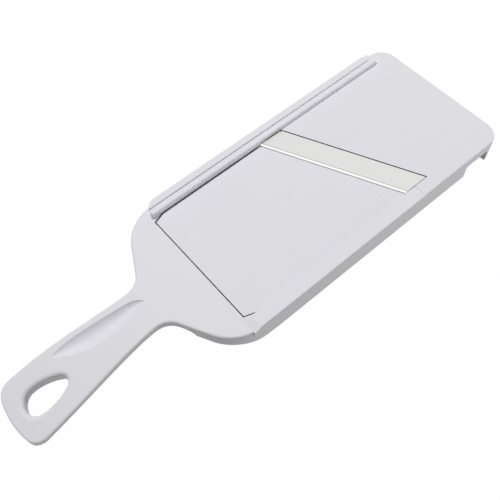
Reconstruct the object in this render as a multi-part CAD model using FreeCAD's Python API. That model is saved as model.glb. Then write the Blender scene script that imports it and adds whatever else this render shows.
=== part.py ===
import FreeCAD, Part
import math
import os

os.makedirs("parts", exist_ok=True)
V = FreeCAD.Vector

# A hand-held mandoline slicer. While it is modelled, x = 0 is the gap between shoulder and front plate,
# +X runs to the far end, +Y to the guide rail, and z = 0 is the shoulder's top face.
# The finished pieces move to the part's own origin, at the middle of the base.

# How far cutting shapes run past what they cut
spare = 4.0

# Plan of the body and the handle
body_half = 51.4
edge_x = 102.6
deck_run = 96.8
far_x = edge_x + deck_run
far_corner_r = 11.5
handle_x = 126.0
neck_x = 32.0
neck_half = 13.5
neck_r = 12.0
shoulder_slope = 62.0
shoulder_r = 28.0
grip_half = 20.5
grip_corner_r = 9.0
grip_end_bow = 4.0
grip_reach = 36.0
neck_reach = 30.0

# Side view of the body and the handle
wall = 2.4
deck_t = 2.6
skirt_depth = 15.0
skirt_rise_x = 20.0
bend_x = 14.0
handle_drop = 17.8
shoulder_t = 8.6
neck_t = 8.0
grip_t = 7.0
belly_x = 24.0
belly_half = 30.0
belly_sag = 3.6
belly_spans = 4
top_round = 1.4

# Hang hole and thumb scoop in the handle
hole_margin = 9.7
hole_big_r = 7.6
hole_big_y = -0.4
hole_small_r = 4.2
hole_small_y = -2.0
hole_side_r = 32.0
hole_length = 14.4
hole_round = 2.4
scoop_start = 35.5
scoop_tip_gap = 2.5
scoop_depth = 3.2
scoop_lift = 0.1

# Rear deck and rails, with heights above the shoulder
deck_rise = 1.5
deck_round = 1.2
right_rail_h = 1.2
right_rail_x = -1.5
right_ramp = 4.9
deck_step_n = 6.6
deck_step_h = 0.2
rail_w = 8.8
rail_h = 4.0
strip_h = rail_h + 1.0
rail_inner_w = 4.1
rail_x = 0.5
rail_nose_r = 8.0
rail_tip_r = 1.2
rail_end = 13.0
rail_slope = 2.5
rail_round = 0.9
strip_end = 18.0
strip_nose_r = 2.8

# Opening for the front plate
opening_half = body_half - rail_w
gap = 0.9
corner_cut_x = 7.0
corner_cut_y = 2.4

# Blade, its holder and the shelf under them
blade_angle = 25.7
blade_w = 15.3
blade_t = 0.9
bevel_w = 1.0
edge_t = 0.15
blade_left_gap = 0.7
blade_right_gap = 0.3
back_gap = 0.8
blade_clip = 1.3
holder_h = 4.6
holder_front = 5.0
holder_slope = 3.2
shelf_t = 2.6
screw_pitch = 30.0
screw_count = 3
screw_r = 1.45
screw_head_r = 2.75
screw_head_h = 1.7
screw_bite = 3.2
screw_fit = 0.06
screw_pass = 0.2

# Front plate
plate_t = 3.0
left_gap = 1.0
right_gap = 0.35
plate_clip = 1.8
under_blade = 0.5
plate_edge_cut = 1.8
plate_rib_t = 1.8
plate_rib_h = 2.2
plate_rib_y = 24.0

# Slice thickness: as photographed, and at both ends of the dial's turn
slice_now = 0.575
slice_min = 0.17
slice_max = 2.6

# Pivot at the handle end of the plate
pivot_x = 6.0
pivot_drop = 5.4
pivot_r = 1.5
pivot_fit = 0.05
lug_r = 3.4
lug_w = 8.0
lug_y = 30.0
lug_gap = 2.0
ear_half = 5.0
ear_floor = 2.2
access_fit = 0.2

# Dial, cam and the bridge that carries them
dial_x = 58.0
bridge_half = 10.0
bridge_t = 2.5
gusset_t = 2.0
gusset_run = 20.0
dial_r = 17.0
dial_h = 3.5
dial_gap = 0.45
flute_count = 10
flute_r = 2.0
shaft_r = 4.0
shaft_fit = 0.05
key_side = 5.0
key_fit = 0.05
cam_hub_r = 10.4
cam_clear = 1.4
cam_r = 15.0
cam_t = 1.6
rim_root = 0.9
rim_step = 0.6
rim_clear = 0.3
rim_spans = 20
cam_float = 0.1
cam_overrun = 12.0
jaw_gap = 0.2
jaw_reach = 3.6
jaw_w = 6.0
jaw_t = 1.5
jaw_back = 2.6
jaw_back_gap = 0.5
washer_t = 0.35
washer_r = 7.0
washer_fit = 0.1
dial_screw_r = 1.45
dial_screw_head_r = 3.7
dial_screw_head_h = 1.8
dial_screw_l = 6.0
pilot_end = 1.0
dial_per_tilt = 180.0

# Far lip, bowl notches and underside ribs
lip_x = 11.0
notch_x = 19.5
notch_h = 9.5
notch_r = 2.0
rib_t = 1.8
rib_h = 4.0
rib_y = 20.0


def block(x0, x1, y0, y1, z0, z1):
    """Box between two corners."""
    return Part.makeBox(x1 - x0, y1 - y0, z1 - z0, V(x0, y0, z0))


def drum(x, y, z0, z1, radius):
    """Upright cylinder."""
    return Part.makeCylinder(radius, z1 - z0, V(x, y, z0))


def cross_rod(x, z, y0, y1, radius):
    """Cylinder lying across the body."""
    return Part.makeCylinder(radius, y1 - y0, V(x, y0, z), V(0, 1, 0))


def polygon(points):
    """Flat face inside a closed run of points."""
    return Part.Face(Part.makePolygon(points + points[:1]))


def slab(plan, z0, z1):
    """Upright prism on a plan polygon."""
    return polygon([V(x, y, z0) for x, y in plan]).extrude(V(0, 0, z1 - z0))


def side_slab(profile, y0, y1):
    """Prism across the body on a side-view polygon."""
    return polygon([V(x, y0, z) for x, z in profile]).extrude(V(0, y1 - y0, 0))


def bezier(points):
    """Edge of a Bezier curve on its poles."""
    curve = Part.BezierCurve()
    curve.setPoles(points)
    return curve.toShape()


def joined(edges):
    """Face inside edges given in any order."""
    return Part.Face(Part.Wire(Part.__sortEdges__(edges)))


def fuse(shapes):
    """One solid from touching shapes, without leftover seams."""
    return shapes[0].multiFuse(shapes[1:]).removeSplitter()


def upright_edges(shape, spots):
    """Vertical edges that stand on the given plan points."""
    found = []
    for edge in shape.Edges:
        a, b = edge.firstVertex().Point, edge.lastVertex().Point
        straight = math.hypot(a.x - b.x, a.y - b.y) < 1e-6
        if straight and any(math.hypot(a.x - x, a.y - y) < 1e-3 for x, y in spots):
            found.append(edge)
    return found


def edge_points(edge):
    """Three points along an edge."""
    first, last = edge.ParameterRange
    return [edge.valueAt(first + (last - first) * part) for part in (0.1, 0.5, 0.9)]


# Plan and side view

def both_sides(x, y):
    """A plan point and its mirror image."""
    return [(x, y), (x, -y)]


def shoulder_corner_x():
    """Where the slanted shoulder would meet the straight side."""
    return (body_half - neck_half) / math.tan(math.radians(shoulder_slope)) - neck_x


def plan_prism(z0, z1):
    """Body and handle from above, with every corner rounded."""
    corner_x = grip_end_bow - handle_x
    side_x = shoulder_corner_x()
    edges = [Part.Arc(V(corner_x, -grip_half, z0), V(-handle_x, 0, z0), V(corner_x, grip_half, z0)).toShape()]
    edges.append(Part.makeLine(V(far_x, -body_half, z0), V(far_x, body_half, z0)))
    for sign in (1, -1):
        grip, neck = V(corner_x, sign * grip_half, z0), V(-neck_x, sign * neck_half, z0)
        edges.append(bezier([grip, grip + V(grip_reach, 0, 0), neck - V(neck_reach, 0, 0), neck]))
        shoulder = V(side_x, sign * body_half, z0)
        edges.append(Part.makeLine(neck, shoulder))
        edges.append(Part.makeLine(shoulder, V(far_x, sign * body_half, z0)))
    prism = joined(edges).extrude(V(0, 0, z1 - z0))
    corners = [(both_sides(corner_x, grip_half), grip_corner_r), (both_sides(-neck_x, neck_half), neck_r),
               (both_sides(side_x, body_half), shoulder_r), (both_sides(far_x, body_half), far_corner_r)]
    for spots, radius in corners:
        prism = prism.makeFillet(radius, upright_edges(prism, spots))
    return prism


def handle_top(x):
    """Height of the top face, which arches down along the handle."""
    reach = handle_x - bend_x
    radius = (reach ** 2 + handle_drop ** 2) / (2 * handle_drop)
    run = max(0.0, -x - bend_x)
    return math.sqrt(radius ** 2 - run ** 2) - radius


def side_view():
    """Level deck, arched handle, and a skirt that rises into the neck."""
    y = -body_half - spare
    tail, middle, far = -handle_x - spare, -(handle_x + bend_x) / 2, far_x + spare
    start = -belly_x
    low = handle_top(tail) - grip_t - spare
    rise = (skirt_rise_x - start) / 2
    bend, tip = V(-bend_x, y, 0), V(tail, y, handle_top(tail))
    skirt, neck = V(skirt_rise_x, y, -skirt_depth), V(start, y, handle_top(start) - shoulder_t)
    edges = [Part.makeLine(V(far, y, 0), bend),
             Part.Arc(bend, V(middle, y, handle_top(middle)), tip).toShape(),
             Part.makeLine(tip, V(tail, y, low)), Part.makeLine(V(tail, y, low), V(start, y, low)),
             Part.makeLine(V(start, y, low), neck), Part.makeLine(skirt, V(far, y, -skirt_depth)),
             bezier([neck, neck + V(rise, 0, 0), skirt - V(rise, 0, 0), skirt]),
             Part.makeLine(V(far, y, -skirt_depth), V(far, y, 0))]
    return joined(edges).extrude(V(0, -2 * y, 0))


def belly_cut():
    """What lies below the handle's crowned underside."""
    end = -handle_x - spare
    low = handle_top(end) - grip_t - 4 * spare
    stations = [(-belly_x, belly_half, shoulder_t, 0.0), (-neck_x, neck_half + neck_r / 4, neck_t, belly_sag)]
    start = -neck_x - neck_r
    for i in range(belly_spans + 1):
        share = i / belly_spans
        stations.append((start + (end - start) * share, neck_half + (grip_half - neck_half) * share,
                         neck_t + (grip_t - neck_t) * share, belly_sag))
    wires = []
    for x, at_half, thickness, sag in stations:
        half = at_half + spare
        middle = handle_top(x) - thickness
        rise = sag * (half / at_half) ** 2
        arch = bezier([V(x, -half, middle + rise), V(x, 0, middle - rise), V(x, half, middle + rise)])
        rest = Part.makePolygon([V(x, half, middle + rise), V(x, half, low), V(x, -half, low),
                                 V(x, -half, middle + rise)])
        wires.append(Part.Wire([arch] + rest.Edges))
    return Part.makeLoft(wires, True, False)


# Handle details

def hole_places():
    """Centres of the hang hole's large and small arcs, below the handle."""
    low = handle_top(-handle_x) - 2 * grip_t
    big = V(-handle_x + hole_margin + hole_big_r, hole_big_y, low)
    return big, V(big.x + hole_length, hole_small_y, low)


def reached(centre, toward, radius):
    """Point at a radius from a centre, in the direction of another point."""
    step = toward - centre
    return centre + step * (radius / step.Length)


def hang_hole():
    """Egg-shaped prism through the handle's end, with bowed sides."""
    big, small = hole_places()
    axis = small - big
    along = V(axis).normalize()
    aside = V(-along.y, along.x, 0)
    to_big, to_small = hole_side_r - hole_big_r, hole_side_r - hole_small_r
    foot = (to_big ** 2 - to_small ** 2 + axis.Length ** 2) / (2 * axis.Length)
    edges, big_ends, small_ends = [], [], []
    for sign in (1, -1):
        centre = big + along * foot - aside * (sign * math.sqrt(to_big ** 2 - foot ** 2))
        big_ends.append(reached(centre, big, hole_side_r))
        small_ends.append(reached(centre, small, hole_side_r))
        middle = reached(centre, (big_ends[-1] + small_ends[-1]) / 2, hole_side_r)
        edges.append(Part.Arc(big_ends[-1], middle, small_ends[-1]).toShape())
    edges.append(Part.Arc(big_ends[0], big - along * hole_big_r, big_ends[1]).toShape())
    edges.append(Part.Arc(small_ends[0], small + along * hole_small_r, small_ends[1]).toShape())
    return joined(edges).extrude(V(0, 0, handle_drop + 4 * grip_t))


def thumb_scoop():
    """Spoon-shaped hollow, steep under its outer brink and running out softly toward the axis."""
    tail, tip = scoop_start - handle_x, -neck_x - scoop_tip_gap
    # Shares of the length, of the grip's half width at the brink and at the soft end, and of the depth
    stations = ((0.0, 0.63, 0.585, 0.05), (0.12, 0.665, 0.33, 0.55), (0.33, 0.625, 0.03, 0.95),
                (0.6, 0.52, -0.07, 1.0), (0.865, 0.405, 0.02, 0.85), (0.94, 0.325, 0.08, 0.55),
                (1.0, 0.17, 0.11, 0.05))
    # Poles of the floor, as shares of the width and the depth
    poles = ((0.2, 1.2), (0.6, 1.4), (0.8, 0.1))
    wires = []
    for along, outer_share, inner_share, share in stations:
        x = tail + (tip - tail) * along
        outer, inner = outer_share * grip_half, inner_share * grip_half
        top, depth = handle_top(x), scoop_depth * share
        brink, end = V(x, outer, top), V(x, inner, top + scoop_lift * share)
        bowl = [V(x, outer + (inner - outer) * w, top - depth * d) for w, d in poles]
        floor = bezier([brink] + bowl + [end])
        roof = Part.makePolygon([end, V(x, inner, top + spare), V(x, outer, top + spare), brink])
        wires.append(Part.Wire([floor] + roof.Edges))
    return Part.makeLoft(wires, True, False)


def handle_and_body():
    """The closed form that the shell is cut from."""
    low = handle_top(-handle_x) - 3 * grip_t
    blank = plan_prism(low, spare).common(side_view()).cut(belly_cut())

    def on_top(edge):
        return all(abs(p.z - handle_top(p.x)) < 0.01 for p in edge_points(edge))

    def at_bend(edge):
        return all(abs(p.x + bend_x) < 0.01 for p in edge_points(edge))

    rim = [edge for edge in blank.Edges if on_top(edge) and not at_bend(edge)]
    blank = blank.makeFillet(top_round, rim)
    blank = blank.cut(hang_hole())
    big, small = hole_places()
    around = hole_margin / 2
    first, last, half = big.x - hole_big_r - around, small.x + hole_small_r + around, hole_big_r + around

    def at_hole(edge):
        return all(first < p.x < last and abs(p.y) < half for p in edge_points(edge))

    blank = blank.makeFillet(hole_round, [edge for edge in blank.Edges if on_top(edge) and at_hole(edge)])
    return blank.cut(thumb_scoop())


# Places along the slanted blade

def along_blade(n, s, z):
    """Point n behind the cutting edge and s along it from the body's axis."""
    a = math.radians(blade_angle)
    return V(edge_x + n * math.cos(a) - s * math.sin(a), n * math.sin(a) + s * math.cos(a), z)


def edge_line_x(n, y):
    """X of the line n behind the cutting edge, at a given y."""
    a = math.radians(blade_angle)
    return edge_x + n / math.cos(a) - y * math.tan(a)


def blade_bar(profile, y0, y1):
    """Bar along the blade on a profile of (n, z), with its ends cut along the body."""
    reach = 2 * body_half
    run = along_blade(0, reach, 0) - along_blade(0, -reach, 0)
    bar = polygon([along_blade(n, -reach, z) for n, z in profile]).extrude(run)
    tall = 4 * skirt_depth
    return bar.common(block(0, far_x, y0, y1, -tall, tall))


def blade_ends():
    """Y of the blade's right and left ends."""
    return -opening_half + blade_right_gap, opening_half - blade_left_gap


def blade_seat():
    """Height of the holder's top, under the blade."""
    return deck_rise - blade_t


def shelf_top():
    """Height of the shelf that carries the holder."""
    return blade_seat() - holder_h


def deck_front():
    """How far behind the cutting edge the rear deck begins."""
    return blade_w + back_gap


def deck_step_x():
    """Where the right rail steps up to the rear deck."""
    return edge_line_x(deck_step_n, -opening_half)


def shelf_front():
    """How far behind the cutting edge the shelf begins, at the foot of the holder's slope."""
    return holder_front + holder_slope


def screw_spots():
    """Points along the middle of the shelf where the screws stand."""
    middle = (shelf_front() + deck_front()) / 2
    first = -(screw_count - 1) / 2 * screw_pitch
    return [along_blade(middle, first + i * screw_pitch, 0) for i in range(screw_count)]


# Tilt of the plate, and the heights of the cam that sets it

def plate_sides():
    """Y of the plate's right and left edges."""
    return right_gap - opening_half, opening_half - left_gap


def tilt_for(slice_t):
    """Tilt in degrees that leaves a slice's thickness between the plate's far edge and the blade."""
    reach = edge_line_x(under_blade, plate_sides()[0]) - pivot_x
    return math.degrees(math.asin((blade_seat() - slice_t) / reach))


def dial_turn(slice_t):
    """Turn of the dial in degrees from the photographed setting to a slice's thickness."""
    return (tilt_for(slice_now) - tilt_for(slice_t)) * dial_per_tilt


def cam_lever():
    """Distance from the pivot to the middle of the follower's grip."""
    return dial_x + cam_r - jaw_reach / 2 - pivot_x


def rim_rise(turn):
    """Height that the rim climbs over a turn in degrees."""
    return math.radians(turn) * cam_lever() / dial_per_tilt


def cam_top():
    """Height of the cam's hub, clear of the plate above it."""
    return -plate_t - cam_clear


def cam_mid():
    """Height of the rim's middle at the follower in the photographed setting."""
    return cam_top() - rim_step - cam_t / 2 - rim_rise(cam_overrun - dial_turn(slice_min))


def bridge_top():
    """Height of the bridge, clear of the rim's low end."""
    return cam_mid() - cam_t / 2 - rim_clear - rim_rise(dial_turn(slice_max) + cam_overrun)


# Frame

def rear_deck():
    """Raised deck behind the blade, with its outer rim rounded."""
    foot = -deck_t - top_round
    plan = [(edge_line_x(deck_front(), body_half), body_half),
            (edge_line_x(deck_front(), -opening_half), -opening_half), (deck_step_x(), -opening_half),
            (deck_step_x(), -body_half), (far_x, -body_half), (far_x, body_half)]
    deck = plan_prism(foot, deck_rise).common(slab(plan, foot, deck_rise))

    def outer(edge):
        points = edge_points(edge)
        if any(abs(p.z - deck_rise) > 1e-6 for p in points):
            return False
        at_side = all(abs(abs(p.y) - body_half) < 1e-6 for p in points)
        return at_side or min(p.x for p in points) > far_x - far_corner_r

    return deck.makeFillet(deck_round, [edge for edge in deck.Edges if outer(edge)])


def right_rail():
    """Low ridge on the right, which climbs from a ramp at its handle end to the rear deck."""
    foot = -deck_t - top_round
    crest = right_rail_x + right_ramp
    profile = [(right_rail_x, foot), (right_rail_x, 0), (crest, right_rail_h),
               (deck_step_x(), deck_rise - deck_step_h), (deck_step_x(), foot)]
    rail = side_slab(profile, -body_half, -opening_half)

    def outer(edge):
        return all(abs(p.y + body_half) < 1e-6 and p.z > right_rail_h for p in edge_points(edge))

    return rail.makeFillet(rail_round, [edge for edge in rail.Edges if outer(edge)])


def rail_bar(far, inside, top):
    """Bar of the guide rail with a rounded handle end, cut off at an inner side."""
    foot = -deck_t - top_round
    bar = block(rail_x, far, opening_half, body_half, foot, top)
    bar = bar.makeFillet(rail_nose_r, upright_edges(bar, [(rail_x, body_half)]))
    bar = bar.makeFillet(rail_tip_r, upright_edges(bar, [(rail_x, opening_half)]))
    return bar.common(block(rail_x, far, inside, body_half, foot, top))


def rounded_rim(bar, top, sharp):
    """Bar with its top rim rounded, apart from the edges that lie on a sharp line."""

    def rim(edge):
        points = edge_points(edge)
        return all(abs(p.z - top) < 1e-6 for p in points) and not any(sharp(p) for p in points)

    return bar.makeFillet(rail_round, [edge for edge in bar.Edges if rim(edge)])


def guide_rail():
    """Tall rail on the left: an inner step and a higher outer strip."""
    end, nose = far_x - rail_end, far_x - strip_end
    step_y = opening_half + rail_inner_w
    inner = rounded_rim(rail_bar(end, opening_half, rail_h), rail_h, lambda p: abs(p.x - end) < 1e-6)
    slope = [(end - rail_slope, rail_h), (end, rail_h), (end, deck_rise)]
    inner = inner.cut(side_slab(slope, opening_half, body_half))
    strip = rail_bar(nose, step_y, strip_h)
    strip = strip.makeFillet(strip_nose_r, upright_edges(strip, [(nose, body_half)]))
    strip = rounded_rim(strip, strip_h, lambda p: abs(p.y - step_y) < 1e-6)
    return [inner, strip]


def opening_cut():
    """Hole in the deck for the front plate and the slot behind it."""
    low, high = -skirt_depth, strip_h + deck_rise
    back = deck_front()
    side = opening_half - corner_cut_y
    start = -gap / 2
    plan = [(start, -side), (start + corner_cut_x, -opening_half),
            (edge_line_x(back, -opening_half), -opening_half), (edge_line_x(back, opening_half), opening_half),
            (start + corner_cut_x, opening_half), (start, side)]
    return slab(plan, low, high)


def inner_plan(z0, z1):
    """Room inside the skirt walls and the shoulder."""
    slope = math.radians(shoulder_slope)
    half, end = body_half - wall, far_x - wall
    start = wall / math.sin(slope) - neck_x
    side = start + (half - neck_half) / math.tan(slope)
    plan = [(start, -neck_half), (side, -half), (end, -half), (end, half), (side, half), (start, neck_half)]
    room = slab(plan, z0, z1)
    for spots, radius in ((both_sides(side, half), shoulder_r), (both_sides(end, half), far_corner_r)):
        room = room.makeFillet(radius - wall, upright_edges(room, spots))
    return room


def cavities():
    """Hollows of the shell: under the deck, the rear deck and the rails."""
    low = -2 * skirt_depth
    front = shoulder_corner_x() - wall
    under = inner_plan(low, -deck_t).common(block(front, far_x - lip_x, -body_half, body_half, low, -deck_t))
    back = deck_front() + wall
    rear_plan = [(edge_line_x(back, body_half), body_half), (edge_line_x(back, -body_half), -body_half),
                 (far_x, -body_half), (far_x, body_half)]
    top = deck_rise - deck_t
    rear = inner_plan(-deck_t, top).common(slab(rear_plan, -deck_t, top))
    rear = rear.common(block(deck_step_x() - wall, far_x - lip_x, -body_half, body_half, -deck_t, top)).fuse(
        rear.common(block(0, deck_step_x(), -opening_half, body_half, -deck_t, top)))
    lip = inner_plan(low, top).common(block(far_x - lip_x + wall, far_x, -body_half, body_half, low, top))
    core = block(rail_x + rail_nose_r, edge_line_x(back, opening_half), opening_half + wall,
                 body_half - wall, -deck_t, rail_h - deck_t)
    return [under, rear, lip, core]


def bowl_notches():
    """Cut through both side walls, where a bowl's rim sits."""
    end = far_x - lip_x
    low = -skirt_depth
    cut = block(end - notch_x, end, -2 * body_half, 2 * body_half, low - notch_r, low + notch_h)
    roof = [edge for edge in cut.Edges if all(abs(p.z - low - notch_h) < 1e-6 for p in edge_points(edge))]
    return cut.makeFillet(notch_r, [edge for edge in roof if edge.Length > 2 * body_half])


def blade_shelf():
    """Slanted shelf under the blade holder and the wall that ties it to the rear deck."""
    top = shelf_top()
    front, back = shelf_front(), deck_front()
    floor = top - shelf_t
    seat = [(front, floor), (front, top), (back, top), (back, 0), (back + wall, 0), (back + wall, floor)]
    inside = body_half - wall / 2
    return blade_bar(seat, -inside, inside)


def pivot_ears():
    """Rounded ears under the margins that hold the pivot rod."""
    ears = []
    for sign in (1, -1):
        y0, y1 = sorted((sign * opening_half, sign * (body_half - wall / 2)))
        ears.append(block(pivot_x - ear_half, pivot_x + ear_half, y0, y1, -pivot_drop, -deck_t))
        floor = -pivot_drop - pivot_r - ear_floor
        around = block(pivot_x - ear_half, pivot_x + ear_half, y0, y1, floor, -pivot_drop)
        ears.append(cross_rod(pivot_x, -pivot_drop, y0, y1, ear_half).common(around))
    return ears


def dial_bridge():
    """Cross bridge under the plate, braced by gussets at the skirt walls."""
    inside = body_half - wall / 2
    low = bridge_top() - bridge_t
    pieces = [block(dial_x - bridge_half, dial_x + bridge_half, -inside, inside, low, bridge_top())]
    for sign in (1, -1):
        tip = V(0, sign * (inside - gusset_run), low)
        for x in (dial_x - bridge_half, dial_x + bridge_half - gusset_t):
            points = [V(x, sign * inside, low), V(x, tip.y, low), V(x, sign * inside, -skirt_depth)]
            pieces.append(polygon(points).extrude(V(gusset_t, 0, 0)))
    return pieces


def deck_ribs():
    """Stiffening ribs under the rear deck."""
    top = deck_rise - deck_t
    end = far_x - lip_x
    ribs = []
    for y in (-rib_y, 0, rib_y):
        start = edge_line_x(deck_front() + wall / 2, y)
        ribs.append(block(start, end, y - rib_t / 2, y + rib_t / 2, top - rib_h, top))
    x = end - notch_x
    ribs.append(block(x - rib_t, x, -body_half + wall / 2, body_half - wall / 2, top - rib_h, top))
    return ribs


def frame_bores():
    """Holes for the pivot rod, the dial's shaft and the blade screws."""
    inside = body_half - wall
    bores = [cross_rod(pivot_x, -pivot_drop, -inside, body_half, pivot_r + pivot_fit)]
    bores.append(cross_rod(pivot_x, -pivot_drop, inside, body_half + wall, pivot_r + access_fit))
    bores.append(drum(dial_x, 0, bridge_top() - 2 * bridge_t, bridge_top() + bridge_t, shaft_r + shaft_fit))
    low, high = shelf_top() - 2 * shelf_t, shelf_top() + shelf_t
    for spot in screw_spots():
        bores.append(drum(spot.x, spot.y, low, high, screw_r + screw_pass))
    return bores


def body_frame():
    """Handle, shoulder, rails, rear deck and everything moulded under them."""
    body = fuse([handle_and_body(), rear_deck(), right_rail()] + guide_rail())
    body = body.cut(cavities()).cut(opening_cut()).cut(bowl_notches())
    body = fuse([body, blade_shelf()] + pivot_ears() + dial_bridge() + deck_ribs())
    return body.cut(frame_bores()).removeSplitter()


# Blade and its holder

def blade_corner():
    """Corner that blade and holder leave free, behind their left ends."""
    left = blade_ends()[1]
    back = edge_line_x(blade_w, left)
    plan = [(back - blade_clip, left), (back + spare, left), (back + spare, left - blade_clip),
            (edge_line_x(blade_w, left - blade_clip), left - blade_clip)]
    return slab(plan, shelf_top() - spare, deck_rise + spare)


def slicing_blade():
    """Steel strip with its bevel on top, toward the handle."""
    top, low = deck_rise, blade_seat()
    profile = [(0, low), (0, low + edge_t), (bevel_w, top), (blade_w, top), (blade_w, low)]
    return blade_bar(profile, *blade_ends()).cut(blade_corner())


def blade_holder():
    """Bar under the blade, sloped in front so that slices drop."""
    top, low = blade_seat(), shelf_top()
    profile = [(holder_front, top), (blade_w, top), (blade_w, low), (shelf_front(), low)]
    holes = [drum(spot.x, spot.y, low - spare, low + screw_bite + screw_fit, screw_r + screw_fit)
             for spot in screw_spots()]
    return blade_bar(profile, *blade_ends()).cut([blade_corner()] + holes)


def pan_screw(seat, way, shank_r, shank_l, head_r, head_h):
    """Screw whose head lies above (way 1) or below (way -1) its seat."""
    head = Part.makeCylinder(head_r, head_h, seat, V(0, 0, way))
    return head.fuse(Part.makeCylinder(shank_r, shank_l, seat, V(0, 0, -way))).removeSplitter()


def blade_screws():
    """Pan-head screws up through the shelf."""
    under = shelf_top() - shelf_t
    length = shelf_t + screw_bite
    seats = [V(spot.x, spot.y, under) for spot in screw_spots()]
    return Part.makeCompound([pan_screw(seat, -1, screw_r, length, screw_head_r, screw_head_h) for seat in seats])


# Front plate

def follower():
    """Jaw under the plate that grips the cam's rim from above and below."""
    inner, outer = dial_x + cam_r - jaw_reach, dial_x + cam_r + jaw_back_gap
    back = outer + jaw_back
    middle = cam_mid() - cam_lever() * math.sin(math.radians(tilt_for(slice_now)))
    upper, lower = middle + cam_t / 2 + jaw_gap, middle - cam_t / 2 - jaw_gap
    half = jaw_w / 2
    profile = [(inner, -plate_t), (inner, upper), (outer, upper), (outer, lower), (inner, lower),
               (inner, lower - jaw_t), (back, lower - jaw_t), (back, -plate_t)]
    return side_slab(profile, -half, half)


def front_plate():
    """Tilting plate: flat top, sloped far edge, ribs, pivot lugs and the follower."""
    (right, left), tip = plate_sides(), under_blade
    start = gap / 2
    plan = [(start, right + corner_cut_y), (start + corner_cut_x, right), (edge_line_x(tip, right), right),
            (edge_line_x(tip, left - plate_clip), left - plate_clip),
            (edge_line_x(tip, left) - plate_clip, left),
            (start + corner_cut_x, left), (start, left - corner_cut_y)]
    plate = slab(plan, -plate_t, 0)
    wedge = [(tip + spare, -plate_t - spare), (tip + spare, -plate_t + plate_edge_cut + spare),
             (tip - plate_edge_cut - spare, -plate_t - spare)]
    plate = plate.cut(blade_bar(wedge, -body_half, body_half))
    rib_start = pivot_x + lug_r + lug_gap
    low = -plate_t - plate_rib_h
    pieces = [plate, follower()]
    for y in (right + plate_rib_t, -plate_rib_y, plate_rib_y, left - plate_rib_t):
        end = edge_line_x(tip - 2 * plate_edge_cut, y + plate_rib_t / 2)
        pieces.append(block(rib_start, end, y - plate_rib_t / 2, y + plate_rib_t / 2, low, -plate_t))
    for y in (-lug_y, lug_y):
        y0, y1 = y - lug_w / 2, y + lug_w / 2
        pieces.append(cross_rod(pivot_x, -pivot_drop, y0, y1, lug_r))
        pieces.append(block(pivot_x - lug_r, pivot_x + lug_r, y0, y1, -pivot_drop, -plate_t))
    plate = fuse(pieces).cut(cross_rod(pivot_x, -pivot_drop, -body_half, body_half, pivot_r + pivot_fit))
    return plate


def pivot_rod():
    """Steel rod, put in through the hole in the left wall."""
    return cross_rod(pivot_x, -pivot_drop, -body_half + wall + access_fit, body_half - wall / 2, pivot_r)


# Dial and cam

def dial_top():
    """Height of the dial's upper face, under the washer."""
    return bridge_top() - bridge_t - dial_gap


def thickness_dial():
    """Scalloped wheel with a shaft that carries the cam on a square end."""
    top = dial_top()
    wheel = drum(dial_x, 0, top - dial_h, top, dial_r)
    flutes = []
    for i in range(flute_count):
        turn = 2 * math.pi * i / flute_count
        x, y = dial_x + dial_r * math.cos(turn), dial_r * math.sin(turn)
        flutes.append(drum(x, y, top - 2 * dial_h, top + dial_h, flute_r))
    wheel = wheel.cut(flutes)
    shaft = drum(dial_x, 0, top, bridge_top() + cam_float, shaft_r)
    half = key_side / 2
    key = block(dial_x - half, dial_x + half, -half, half, bridge_top(), key_top())
    pilot = drum(dial_x, 0, key_top() - dial_screw_l - pilot_end, key_top() + spare, dial_screw_r + screw_fit)
    return fuse([wheel, shaft, key]).cut(pilot)


def key_top():
    """Height of the square end, just under the screw's head."""
    return cam_top() - dial_screw_head_h - screw_fit


def rim_corners(turn):
    """Corners of the rim's section at a dial angle, inner low one first."""
    out = V(math.cos(math.radians(turn)), math.sin(math.radians(turn)), 0)
    middle, half = V(dial_x, 0, cam_mid() + rim_rise(turn)), V(0, 0, cam_t / 2)
    near, far = middle + out * (cam_hub_r - rim_root), middle + out * cam_r
    return [near - half, far - half, far + half, near + half]


def helical_rim():
    """Rim that climbs round the hub in short flat spans and carries the follower."""
    first, last = -dial_turn(slice_max) - cam_overrun, cam_overrun - dial_turn(slice_min)
    rings = [rim_corners(first + (last - first) * i / rim_spans) for i in range(rim_spans + 1)]
    faces = [polygon(rings[0]), polygon(rings[-1])]
    for low, high in zip(rings, rings[1:]):
        for i, j in ((0, 1), (1, 2), (2, 3), (3, 0)):
            faces += [polygon([low[i], low[j], high[i]]), polygon([low[j], high[j], high[i]])]
    return Part.makeSolid(Part.makeShell(faces)).removeSplitter()


def lift_cam():
    """Hub on the dial's square end with the helical rim round it."""
    hub = drum(dial_x, 0, bridge_top() + cam_float, cam_top(), cam_hub_r)
    cam = fuse([hub, helical_rim()])
    half = key_side / 2 + key_fit
    cuts = [block(dial_x - half, dial_x + half, -half, half, bridge_top(), key_top() + screw_fit)]
    cuts.append(drum(dial_x, 0, key_top() + screw_fit, cam_top() + spare, dial_screw_head_r + screw_fit))
    return cam.cut(cuts)


def friction_washer():
    """Thin ring between the bridge and the dial."""
    top = bridge_top() - bridge_t
    ring = drum(dial_x, 0, top - washer_t, top, washer_r)
    return ring.cut(drum(dial_x, 0, top - 2 * washer_t, top + washer_t, shaft_r + washer_fit))


def dial_screw():
    """Screw from above that holds the cam on the shaft."""
    seat = V(dial_x, 0, key_top() + screw_fit)
    return pan_screw(seat, 1, dial_screw_r, dial_screw_l + screw_fit, dial_screw_head_r, dial_screw_head_h)


# Assembly: the plate takes its tilt, then every piece moves to the part's origin

def tilted(shape):
    """Front plate turned up about the pivot to the setting in the photograph."""
    turned = shape.copy()
    turned.rotate(V(pivot_x, 0, -pivot_drop), V(0, 1, 0), -tilt_for(slice_now))
    return turned


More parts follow.
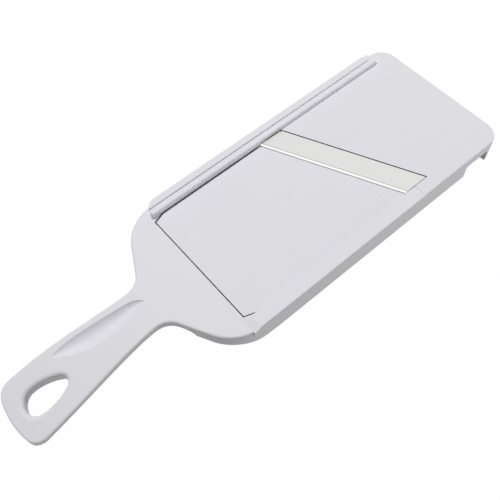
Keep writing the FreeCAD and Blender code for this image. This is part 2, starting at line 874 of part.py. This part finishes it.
def lowest(shape):
    """Height of a shape's lowest point, measured from a floor below it."""
    low = -handle_x
    floor = Part.makePlane(2 * far_x, 4 * body_half, V(-far_x, -2 * body_half, low))
    return low + shape.distToShape(floor)[0]


body = body_frame()
pieces = {
    "body_frame": body, "front_plate": tilted(front_plate()), "slicing_blade": slicing_blade(),
    "blade_holder": blade_holder(), "blade_screws": blade_screws(), "pivot_rod": pivot_rod(),
    "thickness_dial": thickness_dial(), "lift_cam": lift_cam(), "friction_washer": friction_washer(),
    "dial_screw": dial_screw(),
}
base = V((handle_x - far_x) / 2, 0, -lowest(body))
for name, shape in pieces.items():
    shape.translate(base)
    shape.exportStep(f"parts/{name}.step")
    box = shape.BoundBox
    print(name, len(shape.Solids), shape.isValid(), round(shape.Volume, 1), round(box.XLength, 1),
          round(box.YLength, 1), round(box.ZLength, 1))
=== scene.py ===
import math

import bpy
from mathutils import Matrix, Vector


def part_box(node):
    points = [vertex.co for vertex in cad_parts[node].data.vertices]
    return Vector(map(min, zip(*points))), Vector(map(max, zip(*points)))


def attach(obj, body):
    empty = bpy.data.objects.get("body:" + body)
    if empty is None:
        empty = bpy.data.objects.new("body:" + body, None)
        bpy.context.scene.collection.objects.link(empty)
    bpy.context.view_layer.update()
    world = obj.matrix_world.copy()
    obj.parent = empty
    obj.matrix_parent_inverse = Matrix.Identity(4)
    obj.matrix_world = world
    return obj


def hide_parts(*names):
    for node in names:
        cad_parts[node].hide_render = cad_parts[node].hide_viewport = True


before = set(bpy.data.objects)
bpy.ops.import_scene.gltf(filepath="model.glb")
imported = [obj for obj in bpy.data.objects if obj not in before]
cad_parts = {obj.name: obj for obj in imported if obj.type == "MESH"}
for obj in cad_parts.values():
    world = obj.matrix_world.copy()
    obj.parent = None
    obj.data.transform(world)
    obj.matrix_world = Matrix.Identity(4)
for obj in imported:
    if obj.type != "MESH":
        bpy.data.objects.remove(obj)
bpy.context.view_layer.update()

# Hand-held mandoline slicer on a white table: handle at -X, far lip at +X, guide rail at +Y, metres.
MM = 0.001

# Blade: its slant, where its cutting edge crosses the body's axis, the bevel's width, and the width of a grey
# line drawn where bevel and flat meet
BLADE_SLANT = math.radians(25.7)
EDGE_X = 65.9 * MM
BEVEL_WIDTH = 1.0 * MM
BEVEL_CORNER_LINE = 0.5 * MM

# Patterns: sizes in millimetres along X, Y and Z, or the same all round, and how near the deck hairlines stay
CLOUD_MM = 38
GRAIN_MM = 0.7
HAIRLINE_MM = (140, 0.9, 40)
HAIRLINE_BAND = 0.2 * MM
GRINDING_MM = (0.5, 30, 5)
TURNING_MM = 0.4

# Painted seam shade: how far occlusion is looked for, and the shares of open sky at which the painted shade
# is darkest and ends
SEAM_REACH = 2.0 * MM
SEAM_DARKEST, SEAM_END = 0.36, 0.50
SEAM_SHADE_TONE = 0.02
SEAM_SAMPLES = 32
LYING_FLAT = 0.6
PLASTIC_SPECULAR = 0.5


def linear(hex_colour):
    """Linear RGBA of an sRGB hex colour."""
    values = [int(hex_colour[i:i + 2], 16) / 255 for i in (1, 3, 5)]
    return [v / 12.92 if v <= 0.04045 else ((v + 0.055) / 1.055) ** 2.4 for v in values] + [1.0]


def add(tree, kind, sockets=None, **settings):
    """Adds a node with its settings, and sets or links its inputs."""
    made = tree.nodes.new(kind)
    for name, value in settings.items():
        setattr(made, name, value)
    for name, value in (sockets or {}).items():
        if isinstance(value, bpy.types.NodeSocket):
            tree.links.new(value, made.inputs[name])
        else:
            made.inputs[name].default_value = value
    return made


def empty_material(name):
    """A material with nothing in its tree, and the tree to fill."""
    material = bpy.data.materials.new(name)
    material.use_nodes = True
    material.node_tree.nodes.clear()
    return material, material.node_tree


def per_mm(*millimetres):
    """Scales that repeat a pattern every so many millimetres along each axis."""
    return [1 / (size * MM) for size in millimetres]


# White ABS, injection moulded: satin, a little cool, with the faint unevenness of a polished mould, and,
# unless turned off, painted shade in its seams.
def moulded_abs(name, colour, shade, hairline_height=None, hairlines=0.0, seams=True):
    material, tree = empty_material(name)
    place = add(tree, "ShaderNodeTexCoord").outputs["Object"]
    cloud = add(tree, "ShaderNodeTexNoise", {"Vector": place, "Scale": per_mm(CLOUD_MM)[0], "Detail": 2.0})
    tint = add(tree, "ShaderNodeMix", {"Factor": cloud.outputs["Fac"], 6: linear(colour), 7: linear(shade)},
               data_type="RGBA")
    # The mould's grain is about 0.1 mm; it is drawn at 0.7 mm so that it shows
    grain = add(tree, "ShaderNodeTexNoise", {"Vector": place, "Scale": per_mm(GRAIN_MM)[0], "Detail": 3.0})
    rough = add(tree, "ShaderNodeMapRange", {"Value": grain.outputs["Fac"], "To Min": 0.36, "To Max": 0.46})
    bump = add(tree, "ShaderNodeBump", {"Height": grain.outputs["Fac"], "Strength": 0.05,
                                        "Distance": 0.05 * MM})
    # Painted shade: colour and specular are darkened where occlusion finds a seam or hollow, as little light
    # gets into them
    sky = add(tree, "ShaderNodeAmbientOcclusion", {"Distance": SEAM_REACH}, samples=SEAM_SAMPLES)
    painted_seam_shade = add(tree, "ShaderNodeMapRange", {"Value": sky.outputs["AO"],
                                            "From Min": SEAM_DARKEST, "From Max": SEAM_END,
                                            "To Min": SEAM_SHADE_TONE if seams else 1.0, "To Max": 1.0})
    # The painted shade falls only on the walls of a seam; a face that lies flat, such as one on the table,
    # gets none
    facing = add(tree, "ShaderNodeNewGeometry").outputs["Normal"]
    upward = add(tree, "ShaderNodeSeparateXYZ", {"Vector": facing}).outputs["Z"]
    level = add(tree, "ShaderNodeMath", {0: upward}, operation="ABSOLUTE")
    lying = add(tree, "ShaderNodeMath", {0: level.outputs[0], 1: LYING_FLAT}, operation="GREATER_THAN")
    wall_seam_shade = add(tree, "ShaderNodeMath", {0: painted_seam_shade.outputs["Result"], 1: lying.outputs[0]}, operation="MAXIMUM")
    seam_shaded_tint = add(tree, "ShaderNodeMix", {"Factor": 1.0, 6: tint.outputs[2], 7: wall_seam_shade.outputs[0]},
                 data_type="RGBA", blend_type="MULTIPLY")
    # The specular is dimmed by the same painted seam shade
    shine = add(tree, "ShaderNodeMath", {0: wall_seam_shade.outputs[0], 1: PLASTIC_SPECULAR}, operation="MULTIPLY")
    base, normal = seam_shaded_tint.outputs[2], bump.outputs["Normal"]
    if hairlines:
        # Fine lines along the body, on the faces that food slides over
        stretch = add(tree, "ShaderNodeMapping", {"Vector": place, "Scale": per_mm(*HAIRLINE_MM)})
        lines = add(tree, "ShaderNodeTexNoise", {"Vector": stretch.outputs["Vector"], "Scale": 1.0,
                                                 "Detail": 2.0})
        amount = hairlines
        if hairline_height is not None:
            height = add(tree, "ShaderNodeSeparateXYZ", {"Vector": place}).outputs["Z"]
            near = add(tree, "ShaderNodeMath", {0: height, 1: hairline_height, 2: HAIRLINE_BAND},
                       operation="COMPARE")
            amount = add(tree, "ShaderNodeMath", {0: near.outputs[0], 1: hairlines},
                         operation="MULTIPLY").outputs[0]
        dim = add(tree, "ShaderNodeMapRange", {"Value": lines.outputs["Fac"], "From Min": 0.35,
                                               "From Max": 0.65, "To Min": 0.9, "To Max": 1.0})
        lined = add(tree, "ShaderNodeMix", {"Factor": amount, 6: base, 7: dim.outputs["Result"]},
                    data_type="RGBA", blend_type="MULTIPLY")
        base = lined.outputs[2]
        groove = add(tree, "ShaderNodeBump", {"Height": lines.outputs["Fac"], "Strength": amount,
                                              "Distance": 0.03 * MM, "Normal": normal})
        normal = groove.outputs["Normal"]
    shader = add(tree, "ShaderNodeBsdfPrincipled", {"Base Color": base, "Roughness": rough.outputs["Result"],
                                                    "IOR": 1.53, "Specular IOR Level": shine.outputs[0],
                                                    "Normal": normal})
    add(tree, "ShaderNodeOutputMaterial", {"Surface": shader.outputs["BSDF"]})
    return material


# Blade steel, surface ground along its length: a soft sheen, with a white polish on the bevel.
def ground_steel():
    material, tree = empty_material("ground blade steel")
    place = add(tree, "ShaderNodeTexCoord").outputs["Object"]
    along = add(tree, "ShaderNodeMapping", {"Vector": place, "Location": (-EDGE_X, 0.0, 0.0)})
    turned = add(tree, "ShaderNodeVectorRotate", {"Vector": along.outputs["Vector"], "Angle": -BLADE_SLANT},
                 rotation_type="Z_AXIS")
    # Grinding lines are about 0.05 mm apart; they are drawn at 0.5 mm so that they show
    stretch = add(tree, "ShaderNodeMapping", {"Vector": turned.outputs["Vector"],
                                              "Scale": per_mm(*GRINDING_MM)})
    lines = add(tree, "ShaderNodeTexNoise", {"Vector": stretch.outputs["Vector"], "Scale": 1.0,
                                             "Detail": 3.0})
    behind = add(tree, "ShaderNodeSeparateXYZ", {"Vector": turned.outputs["Vector"]}).outputs["X"]
    flat = add(tree, "ShaderNodeMath", {0: behind, 1: BEVEL_WIDTH}, operation="GREATER_THAN")
    rough = add(tree, "ShaderNodeMapRange", {"Value": flat.outputs[0], "To Min": 0.16, "To Max": 0.34})
    ground = add(tree, "ShaderNodeMix", {"Factor": lines.outputs["Fac"], 6: linear("#DCDDDB"),
                                         7: linear("#E6E7E5")}, data_type="RGBA")
    # The corner between bevel and flat shows as a fine grey line
    corner = add(tree, "ShaderNodeMath", {0: behind, 1: BEVEL_WIDTH + BEVEL_CORNER_LINE / 2, 2: BEVEL_CORNER_LINE / 2},
                 operation="COMPARE")
    ground = add(tree, "ShaderNodeMix", {"Factor": corner.outputs[0], 6: ground.outputs[2],
                                         7: linear("#B4B5B3")}, data_type="RGBA")
    tint = add(tree, "ShaderNodeMix", {"Factor": flat.outputs[0], 6: linear("#FDFDFC"), 7: ground.outputs[2]},
               data_type="RGBA")
    bump = add(tree, "ShaderNodeBump", {"Height": lines.outputs["Fac"], "Strength": 0.06,
                                        "Distance": 0.02 * MM})
    shader = add(tree, "ShaderNodeBsdfPrincipled", {"Base Color": tint.outputs[2], "Metallic": 1.0,
                                                    "Roughness": rough.outputs["Result"],
                                                    "Normal": bump.outputs["Normal"]})
    add(tree, "ShaderNodeOutputMaterial", {"Surface": shader.outputs["BSDF"]})
    return material


# Stainless steel as drawn or turned: duller than the blade, a little uneven.
def turned_steel():
    material, tree = empty_material("turned stainless steel")
    place = add(tree, "ShaderNodeTexCoord").outputs["Object"]
    grain = add(tree, "ShaderNodeTexNoise", {"Vector": place, "Scale": per_mm(TURNING_MM)[0], "Detail": 2.0})
    rough = add(tree, "ShaderNodeMapRange", {"Value": grain.outputs["Fac"], "To Min": 0.28, "To Max": 0.42})
    tint = add(tree, "ShaderNodeMix", {"Factor": grain.outputs["Fac"], 6: linear("#B4B6B8"),
                                       7: linear("#C8CACB")}, data_type="RGBA")
    shader = add(tree, "ShaderNodeBsdfPrincipled", {"Base Color": tint.outputs[2], "Metallic": 1.0,
                                                    "Roughness": rough.outputs["Result"]})
    add(tree, "ShaderNodeOutputMaterial", {"Surface": shader.outputs["BSDF"]})
    return material


def seen_directly(tree):
    """1 for what is seen, also in a mirror or through glass, and 0 for light that falls on things."""
    path = add(tree, "ShaderNodeLightPath").outputs
    seen = add(tree, "ShaderNodeMath", {0: path["Is Camera Ray"], 1: path["Is Glossy Ray"]},
               operation="MAXIMUM")
    seen = add(tree, "ShaderNodeMath", {0: seen.outputs[0], 1: path["Is Transmission Ray"]},
               operation="MAXIMUM")
    return seen.outputs[0]


# Table: white all round, and it keeps a faint shadow of the slicer. From below it lets the underside be seen.
def table_white():
    material, tree = empty_material("white table")
    white = linear("#FFFFFF")
    matt = add(tree, "ShaderNodeBsdfDiffuse", {"Color": linear("#606060")})
    fill = add(tree, "ShaderNodeEmission", {"Color": white, "Strength": 0.10})
    bounce = add(tree, "ShaderNodeAddShader", {0: matt.outputs[0], 1: fill.outputs[0]})
    faint = add(tree, "ShaderNodeBsdfDiffuse", {"Color": linear("#383838")})
    glow = add(tree, "ShaderNodeEmission", {"Color": white, "Strength": 0.98})
    shown = add(tree, "ShaderNodeAddShader", {0: faint.outputs[0], 1: glow.outputs[0]})
    both = add(tree, "ShaderNodeMixShader", {0: seen_directly(tree), 1: bounce.outputs[0],
                                             2: shown.outputs[0]})
    below = add(tree, "ShaderNodeNewGeometry").outputs["Backfacing"]
    clear = add(tree, "ShaderNodeBsdfTransparent")
    sided = add(tree, "ShaderNodeMixShader", {0: below, 1: both.outputs[0], 2: clear.outputs[0]})
    add(tree, "ShaderNodeOutputMaterial", {"Surface": sided.outputs[0]})
    return material


def dress(name, material):
    """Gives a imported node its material."""
    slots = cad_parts[name].data.materials
    slots.clear()
    slots.append(material)


WHITE, WHITE_SHADE = "#EAE9EF", "#E7E6EC"
HAIRLINES = 0.22
deck_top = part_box("slicing_blade")[1][2]
frame_white = moulded_abs("white ABS frame", WHITE, WHITE_SHADE, hairline_height=deck_top,
                          hairlines=HAIRLINES)
plate_white = moulded_abs("white ABS plate", WHITE, WHITE_SHADE, hairlines=HAIRLINES)
inner_white = moulded_abs("white ABS inner pieces", "#DEDEE3", "#DADADF", seams=False)
dark_acetal = moulded_abs("dark acetal", "#2A2A2C", "#242426")
steel = turned_steel()
dress("body_frame", frame_white)
dress("front_plate", plate_white)
dress("slicing_blade", ground_steel())
dress("friction_washer", dark_acetal)
for name in ("blade_holder", "thickness_dial", "lift_cam"):
    dress(name, inner_white)
for name in ("pivot_rod", "dial_screw"):
    dress(name, steel)


# Pan-head screws under the blade, with domed heads and cross recesses
SCREW_BEHIND = 12.15 * MM
SCREW_PITCH = 30.0 * MM
SCREW_TURNS = (12.0, 58.0, 33.0)
HEAD_RADIUS, HEAD_HEIGHT, HEAD_DOME = 2.75 * MM, 1.7 * MM, 0.9 * MM
HEAD_SIDES, DOME_STEPS = 48, 6
SHANK_RADIUS, SHANK_LENGTH = 1.45 * MM, 5.8 * MM
RECESS_LENGTH, RECESS_WIDTH, RECESS_DEPTH = 2.9 * MM, 0.7 * MM, 1.0 * MM
SMOOTH_BELOW = math.radians(35)
# How the screw's top face and lower rim are found before they are shaped
POINTS_UP, RIM_LEVEL = 0.9, 0.01 * MM


def only(piece):
    """Selects one piece and makes it active."""
    bpy.ops.object.select_all(action="DESELECT")
    piece.select_set(True)
    bpy.context.view_layer.objects.active = piece


def pick(parts, mode):
    """Goes into edit mode on the active piece, with only these faces or edges selected."""
    bpy.ops.object.mode_set(mode="EDIT")
    bpy.ops.mesh.select_mode(type=mode)
    bpy.ops.mesh.select_all(action="DESELECT")
    bpy.ops.object.mode_set(mode="OBJECT")
    for part in parts():
        part.select = True
    bpy.ops.object.mode_set(mode="EDIT")


def pan_head_screw():
    """One screw at the origin, head down."""
    bpy.ops.object.select_all(action="DESELECT")
    bpy.ops.mesh.primitive_cylinder_add(vertices=HEAD_SIDES, radius=HEAD_RADIUS, depth=HEAD_HEIGHT,
                                        location=(0.0, 0.0, HEAD_HEIGHT / 2))
    screw = bpy.context.object
    bpy.ops.object.transform_apply(location=True)
    mesh = screw.data

    def top_face():
        return [face for face in mesh.polygons if face.normal.z > POINTS_UP]

    def lower_rim():
        return [edge for edge in mesh.edges
                if all(mesh.vertices[v].co.z < RIM_LEVEL for v in edge.vertices)]

    pick(top_face, "FACE")
    bpy.ops.mesh.inset(thickness=HEAD_RADIUS - SHANK_RADIUS)
    bpy.ops.mesh.extrude_region_move(TRANSFORM_OT_translate={"value": (0.0, 0.0, SHANK_LENGTH)})
    bpy.ops.object.mode_set(mode="OBJECT")
    pick(lower_rim, "EDGE")
    bpy.ops.mesh.bevel(offset=HEAD_DOME, segments=DOME_STEPS, affect="EDGES")
    bpy.ops.object.mode_set(mode="OBJECT")
    for turn in (0.0, math.pi / 2):
        bpy.ops.mesh.primitive_cube_add(size=1.0, scale=(RECESS_LENGTH, RECESS_WIDTH, 2 * RECESS_DEPTH),
                                        rotation=(0.0, 0.0, turn))
        driver = bpy.context.object
        only(screw)
        recess = screw.modifiers.new("recess", "BOOLEAN")
        recess.object = driver
        recess.solver = "EXACT"
        bpy.ops.object.modifier_apply(modifier=recess.name)
        only(driver)
        bpy.ops.object.delete()
    only(screw)
    bpy.ops.object.shade_smooth_by_angle(angle=SMOOTH_BELOW)
    return screw


def blade_screws():
    """Three screws along the blade's shelf, as one piece."""
    first = pan_head_screw()
    screws = [first]
    for _ in SCREW_TURNS[1:]:
        screws.append(first.copy())
        screws[-1].data = first.data.copy()
        bpy.context.collection.objects.link(screws[-1])
    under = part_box("blade_screws")[0][2]
    for i, screw in enumerate(screws):
        along = (i - 1) * SCREW_PITCH
        screw.location = (EDGE_X + SCREW_BEHIND * math.cos(BLADE_SLANT) - along * math.sin(BLADE_SLANT),
                          SCREW_BEHIND * math.sin(BLADE_SLANT) + along * math.cos(BLADE_SLANT), under)
        screw.rotation_euler.z = math.radians(SCREW_TURNS[i])
    only(first)
    for screw in screws:
        screw.select_set(True)
    bpy.ops.object.join()
    bpy.ops.object.transform_apply(location=True, rotation=True, scale=True)
    first.name = "pan_head_screws"
    first.data.materials.append(steel)
    return first


screws = blade_screws()
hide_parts("blade_screws")
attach(screws, "frame")


# Table under the handle's end and the far lip, which are the two places that the slicer rests on
TABLE_SIZE = 8.0
LIP_BOTTOM = 9.85 * MM
low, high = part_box("body_frame")
rest_slope = math.atan(LIP_BOTTOM / (high[0] - low[0]))
bpy.ops.object.select_all(action="DESELECT")
bpy.ops.mesh.primitive_plane_add(size=TABLE_SIZE, location=(low[0], 0.0, 0.0),
                                 rotation=(0.0, -rest_slope, 0.0))
table = bpy.context.object
table.name = "table"
table.data.materials.append(table_white())


# Soft studio light: a broad box overhead, a small one low at the right, and an even white surround
def soft_box(name, place, target, size, watts):
    lamp = bpy.data.lights.new(name, "AREA")
    lamp.shape = "DISK"
    lamp.size = size
    lamp.energy = watts
    made = bpy.data.objects.new(name, lamp)
    made.location = place
    made.rotation_euler = (Vector(target) - Vector(place)).to_track_quat("-Z", "Y").to_euler()
    made.visible_glossy = False
    bpy.context.collection.objects.link(made)


soft_box("back box", place=(0.14, 0.72, 1.87), target=(0.0, 0.0, 0.03), size=0.8, watts=25.6)
soft_box("side fill", place=(0.38, -0.55, 0.07), target=(0.08, -0.05, 0.02), size=0.35, watts=1.2)
world = bpy.data.worlds.new("white surround")
bpy.context.scene.world = world
world.use_nodes = True
surround = world.node_tree
surround.nodes.clear()
level = add(surround, "ShaderNodeMapRange", {"Value": seen_directly(surround), "To Min": 0.27, "To Max": 1.0})
sky = add(surround, "ShaderNodeBackground", {"Color": linear("#FFFFFF"), "Strength": level.outputs["Result"]})
add(surround, "ShaderNodeOutputWorld", {"Surface": sky.outputs[0]})

# Camera as the photograph was taken: place, turn and lens from its vanishing points
CAMERA_PLACE = (-0.1205, -0.1606, 0.34665)
CAMERA_RIGHT = Vector((0.76235, -0.64638, -0.03189))
CAMERA_UP = Vector((0.57151, 0.64929, 0.50179))
turn = Matrix((CAMERA_RIGHT, CAMERA_UP, CAMERA_RIGHT.cross(CAMERA_UP))).transposed()
lens = bpy.data.cameras.new("camera")
lens.sensor_width = 36.0
lens.lens = 47.49
lens.shift_x, lens.shift_y = -0.0009, 0.0017
camera = bpy.data.objects.new("camera", lens)
camera.matrix_world = Matrix.Translation(CAMERA_PLACE) @ turn.to_4x4()
bpy.context.collection.objects.link(camera)
bpy.context.scene.camera = camera
bpy.context.scene.view_settings.view_transform = "Standard"
